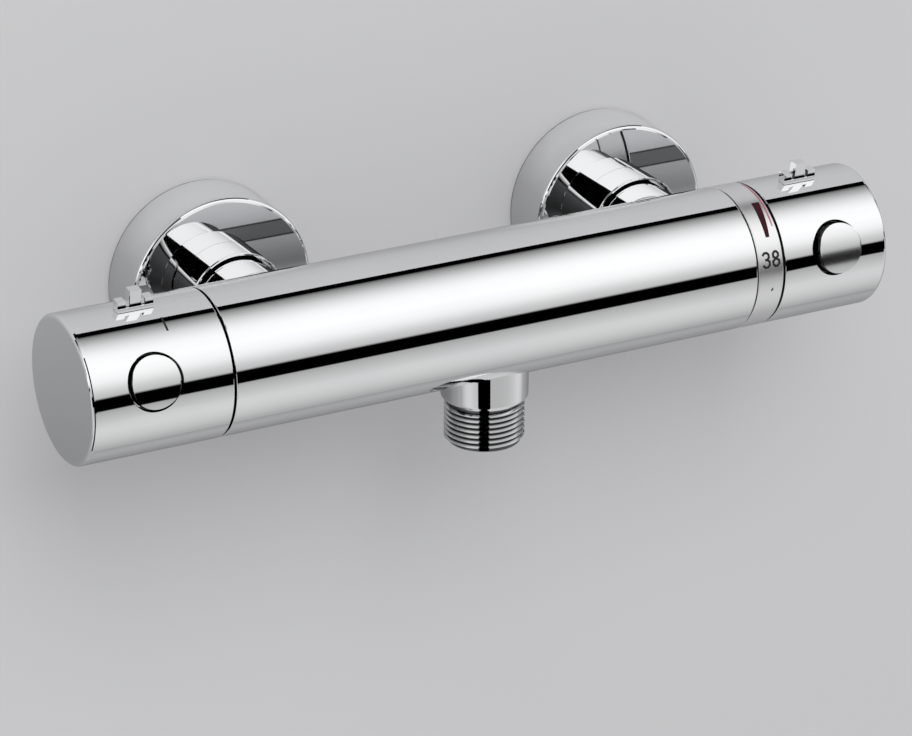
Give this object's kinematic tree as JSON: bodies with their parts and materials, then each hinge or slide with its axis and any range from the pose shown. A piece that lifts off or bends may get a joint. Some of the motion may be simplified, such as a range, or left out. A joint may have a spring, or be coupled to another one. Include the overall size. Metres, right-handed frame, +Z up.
{
  "type": "thermostatic shower valve",
  "caption": "Wall-mounted bar thermostatic shower mixer with flow and temperature handles, stop buttons, two wall unions with rosettes and a threaded outlet below.",
  "frame": {"origin": "midway between the two wall connections, in the plane of the finished wall", "axes": "+X along the bar towards the temperature handle, +Y into the wall, +Z up"},
  "size_m": [0.2885, 0.1125, 0.079],
  "materials": {
    "chrome": "polished chrome plating",
    "brass": "machined, satin",
    "rubber": "matt moulded rubber",
    "steel": "drawn stainless wire and sheet",
    "white_plastic": "moulded plastic, satin",
    "grey_plastic": "moulded plastic, matt",
    "ceramic": null
  },
  "bodies": {
    "valve": {"valve_body": "chrome", "outlet_nipple": "chrome", "outlet_o_ring": "rubber", "scale_ring": "chrome", "flow_headwork": "brass", "flow_headwork_o_ring": "rubber", "flow_port_seal": "rubber", "flow_fixed_disc": "ceramic", "flow_stop_ring": "grey_plastic", "thermo_housing": "white_plastic", "thermo_seat": "white_plastic", "thermo_nose_o_ring": "rubber", "thermo_o_rings": "rubber", "thermo_retaining_nut": "brass", "temp_stop_ring": "grey_plastic", "thermo_return_spring": "steel", "inlet_tail_hot": "brass", "inlet_tail_cold": "brass", "tail_o_rings": "rubber", "check_housing_hot": "white_plastic", "check_housing_cold": "white_plastic", "check_spring_hot": "steel", "check_spring_cold": "steel", "union_nut_hot": "chrome", "union_nut_cold": "chrome", "union_washers": "rubber", "strainer_hot": "steel", "strainer_cold": "steel", "s_union_hot": "chrome", "s_union_cold": "chrome", "cover_sleeve_hot": "chrome", "cover_sleeve_cold": "chrome", "rosette_hot": "chrome", "rosette_cold": "chrome", "rosette_seal_hot": "rubber", "rosette_seal_cold": "rubber"},
    "flow_handle": {"flow_spindle": "brass", "flow_moving_disc": "ceramic", "flow_handle_hub": "grey_plastic", "flow_handle_shell": "chrome", "flow_handle_grip": "chrome", "flow_handle_screw": "steel", "flow_button_spring": "steel"},
    "flow_button": {"flow_stop_button": "chrome"},
    "temp_handle": {"thermo_spindle": "brass", "temp_handle_hub": "grey_plastic", "temp_handle_shell": "chrome", "temp_handle_grip": "chrome", "temp_handle_screw": "steel", "temp_button_spring": "steel"},
    "temp_button": {"temp_stop_button": "chrome"},
    "thermostat": {"regulating_nut": "brass", "overload_spring": "steel", "wax_element": "brass", "wax_piston": "steel", "thermo_shuttle": "white_plastic"},
    "hot_check": {"check_poppet_hot": "white_plastic"},
    "cold_check": {"check_poppet_cold": "white_plastic"}
  },
  "joints": [
    {"name": "flow_turn", "type": "hinge", "parent": "valve", "child": "flow_handle", "pos_m": [-0.13, -0.07, 0.0075], "axis": [-1, 0, 0], "range_deg": [0, 90]},
    {"name": "temp_turn", "type": "hinge", "parent": "valve", "child": "temp_handle", "pos_m": [0.11, -0.07, 0.0075], "axis": [-1, 0, 0], "range_deg": [-150, 55]},
    {"name": "flow_button_press", "type": "slide", "parent": "flow_handle", "child": "flow_button", "axis": [0, 0.9537, -0.3007], "range_m": [0, 0.0022], "stiffness_N_per_m": 1200, "springref_m": -0.001, "deforming": ["flow_button_spring"]},
    {"name": "temp_button_press", "type": "slide", "parent": "temp_handle", "child": "temp_button", "axis": [0, 0.9659, -0.2588], "range_m": [0, 0.0022], "stiffness_N_per_m": 1200, "springref_m": -0.001, "deforming": ["temp_button_spring"]},
    {"name": "thermostat_travel", "type": "slide", "parent": "valve", "child": "thermostat", "axis": [1, 0, 0], "range_m": [-0.0011, 0.0005], "deforming": ["thermo_return_spring"]},
    {"name": "hot_check_lift", "type": "slide", "parent": "valve", "child": "hot_check", "axis": [0, -1, 0], "range_m": [0, 0.002], "stiffness_N_per_m": 60, "springref_m": -0.002, "deforming": ["check_spring_hot"]},
    {"name": "cold_check_lift", "type": "slide", "parent": "valve", "child": "cold_check", "axis": [0, -1, 0], "range_m": [0, 0.002], "stiffness_N_per_m": 60, "springref_m": -0.002, "deforming": ["check_spring_cold"]}
  ],
  "couplings": [
    {"joint": "thermostat_travel", "follows": "temp_turn", "m_per_rad": 0.00039789}
  ]
}
